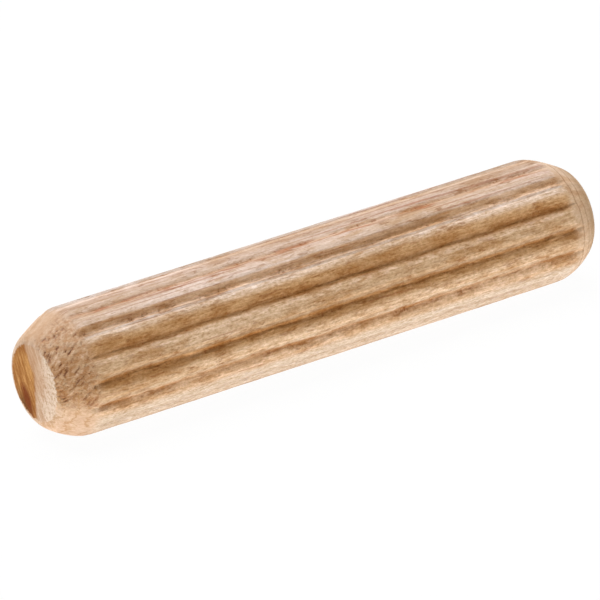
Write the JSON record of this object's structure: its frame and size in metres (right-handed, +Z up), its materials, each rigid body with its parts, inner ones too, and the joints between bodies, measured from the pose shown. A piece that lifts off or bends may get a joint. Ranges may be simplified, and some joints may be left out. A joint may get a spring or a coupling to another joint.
{
  "type": "fluted wooden dowel pin",
  "caption": "Straight wooden dowel pin with rounded lengthwise flutes all round and a tapered lead-in at each end, for glued joints between boards.",
  "frame": {"origin": "middle of the pin, on its axis, where the seam between two joined boards would cross it", "axes": "+X along the pin, +Z up as it lies on two ridges with a flute straight down"},
  "size_m": [0.04, 0.008, 0.0079],
  "materials": {
    "beech": "matte"
  },
  "bodies": {
    "root": {"dowel_pin": "beech"}
  },
  "joints": []
}
